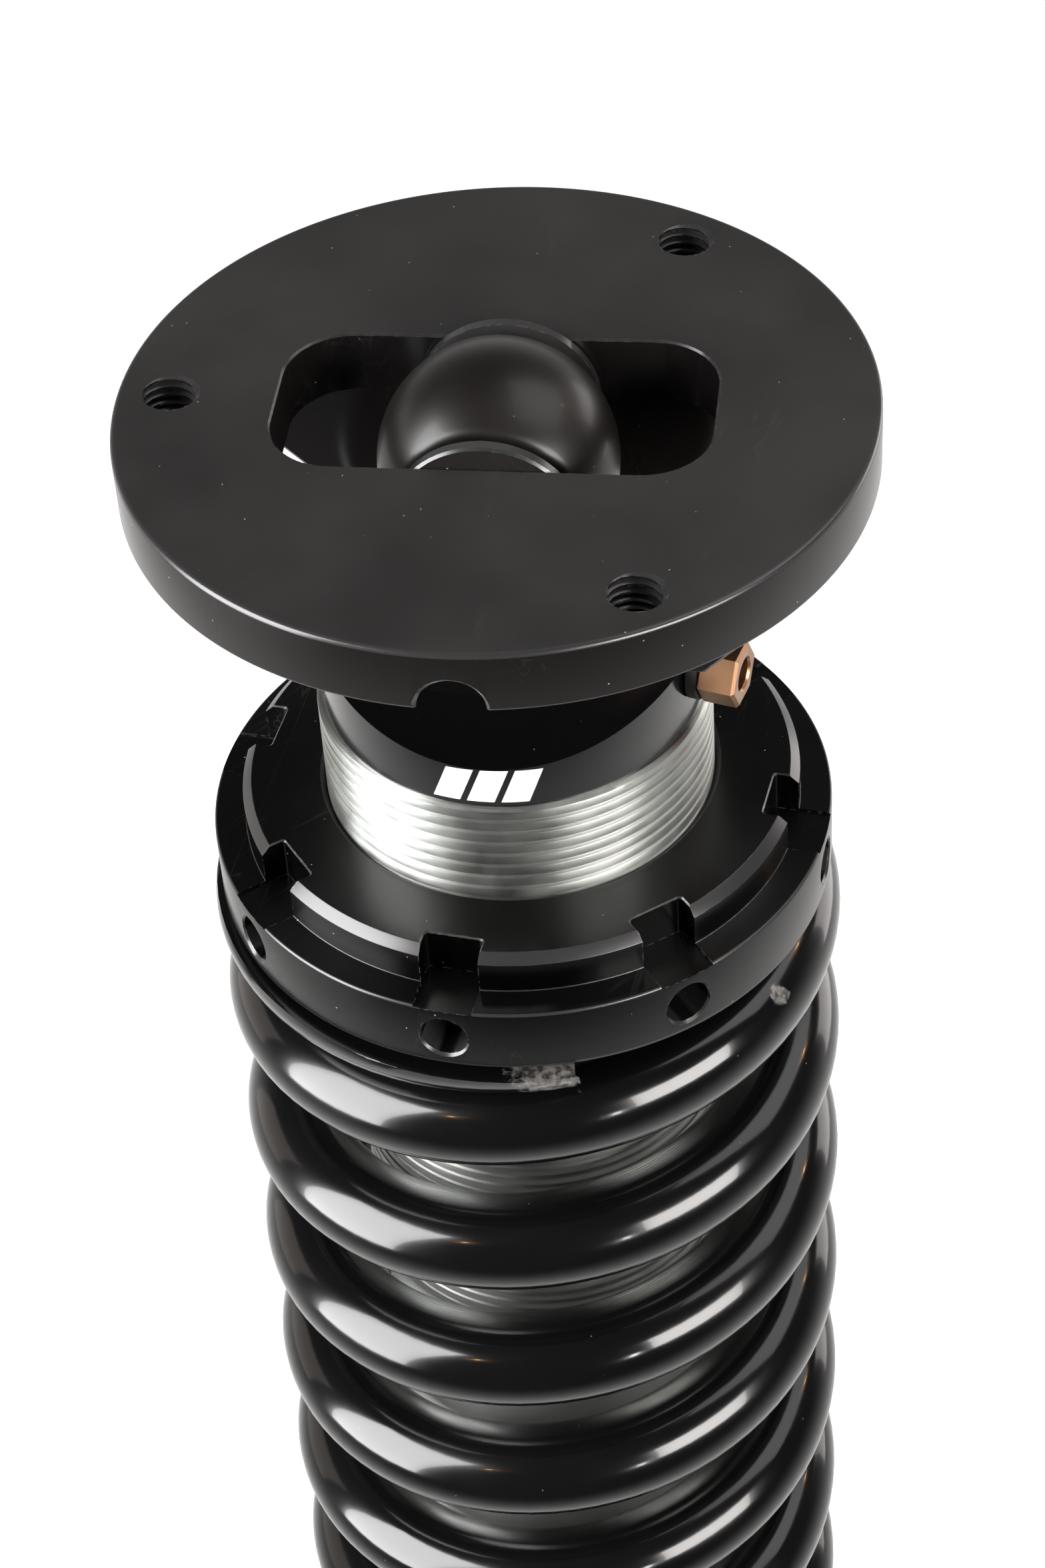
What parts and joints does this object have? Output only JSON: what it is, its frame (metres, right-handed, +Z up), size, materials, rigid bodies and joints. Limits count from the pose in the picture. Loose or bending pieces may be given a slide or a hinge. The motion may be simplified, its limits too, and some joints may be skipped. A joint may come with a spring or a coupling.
{
  "type": "coilover shock absorber",
  "caption": "Body-up coilover with a slotted round top plate, ball eye, threaded body, castle adjuster nut, black coil spring and lower spherical eye.",
  "frame": {"origin": "centre of the top plate's upper face, on the damper's axis", "axes": "+Z up out of the top plate, with the damper hanging along -Z; +Y along the cross bolt; +X along the plate's slot"},
  "size_m": [0.122, 0.122, 0.5045],
  "materials": {
    "black_anodised": "satin",
    "gloss_black": "gloss",
    "spring_black": "gloss",
    "zinc_plated": "satin",
    "black_oxide": "satin",
    "plated_steel": "satin",
    "hard_anodised_grey": "satin",
    "bearing_steel": "polished",
    "chrome": "polished",
    "raw_aluminium": "machined",
    "spring_steel": "polished",
    "bronze": "satin",
    "black_rubber": "matt",
    "urethane": "matt",
    "nylon": "matt"
  },
  "bodies": {
    "top_mount": {"top_plate": "black_anodised", "cross_bolt": "black_oxide", "cross_bolt_washers": "plated_steel", "cross_bolt_nut": "black_oxide", "upper_spacers": "hard_anodised_grey"},
    "upper_ball": {"upper_bearing_ball": "chrome"},
    "damper_body": {"eye_cap": "gloss_black", "upper_bearing_race": "bearing_steel", "upper_snap_rings": "black_oxide", "port_fitting": "bronze", "port_seal": "black_rubber", "cap_o_ring": "black_rubber", "damper_tube": "zinc_plated", "seal_head": "raw_aluminium", "shaft_bush": "bronze", "shaft_seal": "black_rubber", "shaft_wiper": "black_rubber", "seal_head_o_ring": "black_rubber", "seal_head_retainer": "black_oxide"},
    "spring_seat": {"spring_seat_ring": "nylon", "coil_spring": "spring_black"},
    "adjuster": {"adjuster_nut": "black_anodised"},
    "shaft": {"damper_shaft": "chrome", "piston": "raw_aluminium", "piston_band": "bronze", "compression_shims": "spring_steel", "rebound_shims": "spring_steel", "piston_washer": "plated_steel", "piston_nut": "plated_steel", "bump_stop": "urethane", "lower_perch": "gloss_black", "lower_eye": "gloss_black", "lower_bearing_race": "bearing_steel", "lower_snap_rings": "black_oxide"},
    "lower_ball": {"lower_bearing_ball": "chrome"},
    "lower_mount": {"lower_spacers": "plated_steel"}
  },
  "joints": [
    {"name": "swing", "type": "hinge", "parent": "top_mount", "child": "upper_ball", "pos_m": [0, 0, -0.011], "axis": [0, 1, 0], "range_deg": [-20, 20]},
    {"name": "upper_tilt", "type": "hinge", "parent": "upper_ball", "child": "damper_body", "pos_m": [0, 0, -0.011], "axis": [1, 0, 0], "range_deg": [-4, 4]},
    {"name": "preload_slide", "type": "slide", "parent": "damper_body", "child": "spring_seat", "axis": [0, 0, 1], "range_m": [-0.01, 0.0125]},
    {"name": "nut_turn", "type": "hinge", "parent": "spring_seat", "child": "adjuster", "pos_m": [0, 0, -0.0905], "axis": [0, 0, 1], "range_deg": [-1440, 1800]},
    {"name": "stroke", "type": "slide", "parent": "spring_seat", "child": "shaft", "axis": [0, 0, 1], "range_m": [0, 0.1], "stiffness_N_per_m": 112500, "springref_m": -0.003, "deforming": ["coil_spring"]},
    {"name": "lower_tilt", "type": "hinge", "parent": "shaft", "child": "lower_ball", "pos_m": [0, 0, -0.472], "axis": [1, 0, 0], "range_deg": [-8, 8]},
    {"name": "lower_swivel", "type": "hinge", "parent": "lower_ball", "child": "lower_mount", "pos_m": [0, 0, -0.472], "axis": [0, 1, 0], "range_deg": [-25, 25]}
  ],
  "couplings": [
    {"joint": "nut_turn", "follows": "preload_slide", "rad_per_m": 2513.3}
  ]
}
